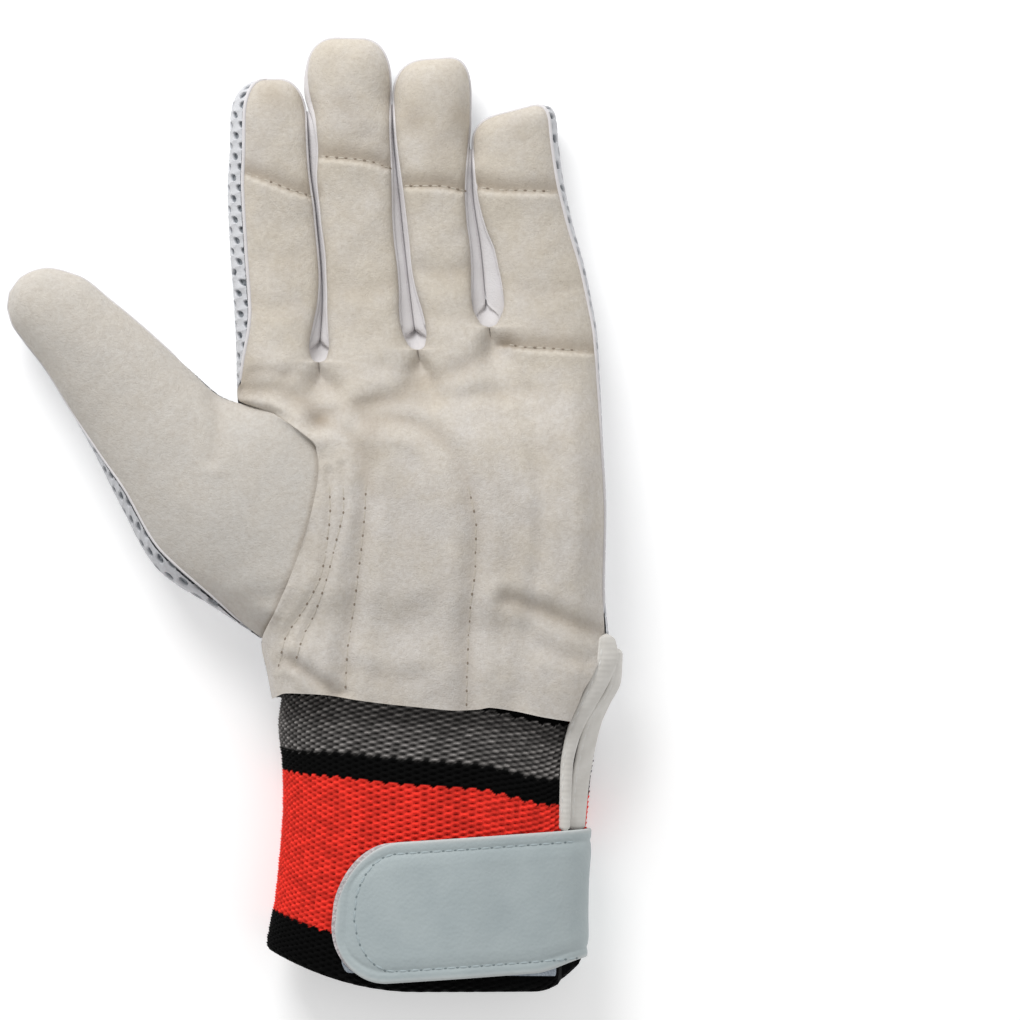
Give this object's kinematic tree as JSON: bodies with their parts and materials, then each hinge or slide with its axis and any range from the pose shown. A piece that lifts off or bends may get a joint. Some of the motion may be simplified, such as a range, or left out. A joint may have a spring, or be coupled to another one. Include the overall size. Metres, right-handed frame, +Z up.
{
  "type": "wicketkeeping inner glove",
  "caption": "Padded left-hand inner glove with a chamois palm, mesh back, jersey finger gussets and a knitted cuff closed by a wrap-round strap.",
  "frame": {"origin": "on the surface under the glove, at the middle of the box that it fills", "axes": "+Y from the cuff to the fingertips, +X from the thumb to the little finger, +Z up out of the palm"},
  "size_m": [0.178, 0.2761, 0.0351],
  "materials": {
    "chamois": "matt napped chamois leather, warm cream",
    "thumb_chamois": "matt napped chamois leather, pale cream",
    "air_mesh": "white warp-knitted mesh with oval holes over a grey inner layer",
    "jersey": "smooth white knitted jersey",
    "rib_knit": "elastic knit in stripes of black, grey and orange-red",
    "binding": "off-white sewn edge tape",
    "strap_leather": "fine-grained coated leather, pale blue-grey",
    "hook_tape": "hook tape, pale grey",
    "loop_tape": "brushed loop tape, blue-grey",
    "badge_backing": "white sewn backing, matt",
    "badge_face": "glossy domed plastic, orange with a black border"
  },
  "bodies": {
    "root": {"palm_panel": "chamois", "thumb_palm_panel": "thumb_chamois", "back_panel": "air_mesh", "thumb_back_panel": "air_mesh", "fourchette_index_middle": "jersey", "fourchette_middle_ring": "jersey", "fourchette_ring_little": "jersey", "knitted_cuff": "rib_knit", "slit_binding_palm": "binding", "slit_binding_back": "binding", "wrist_strap": "strap_leather", "strap_hook_lining": "hook_tape", "loop_patch": "loop_tape", "badge_backing": "badge_backing", "badge_face": "badge_face"}
  },
  "joints": []
}
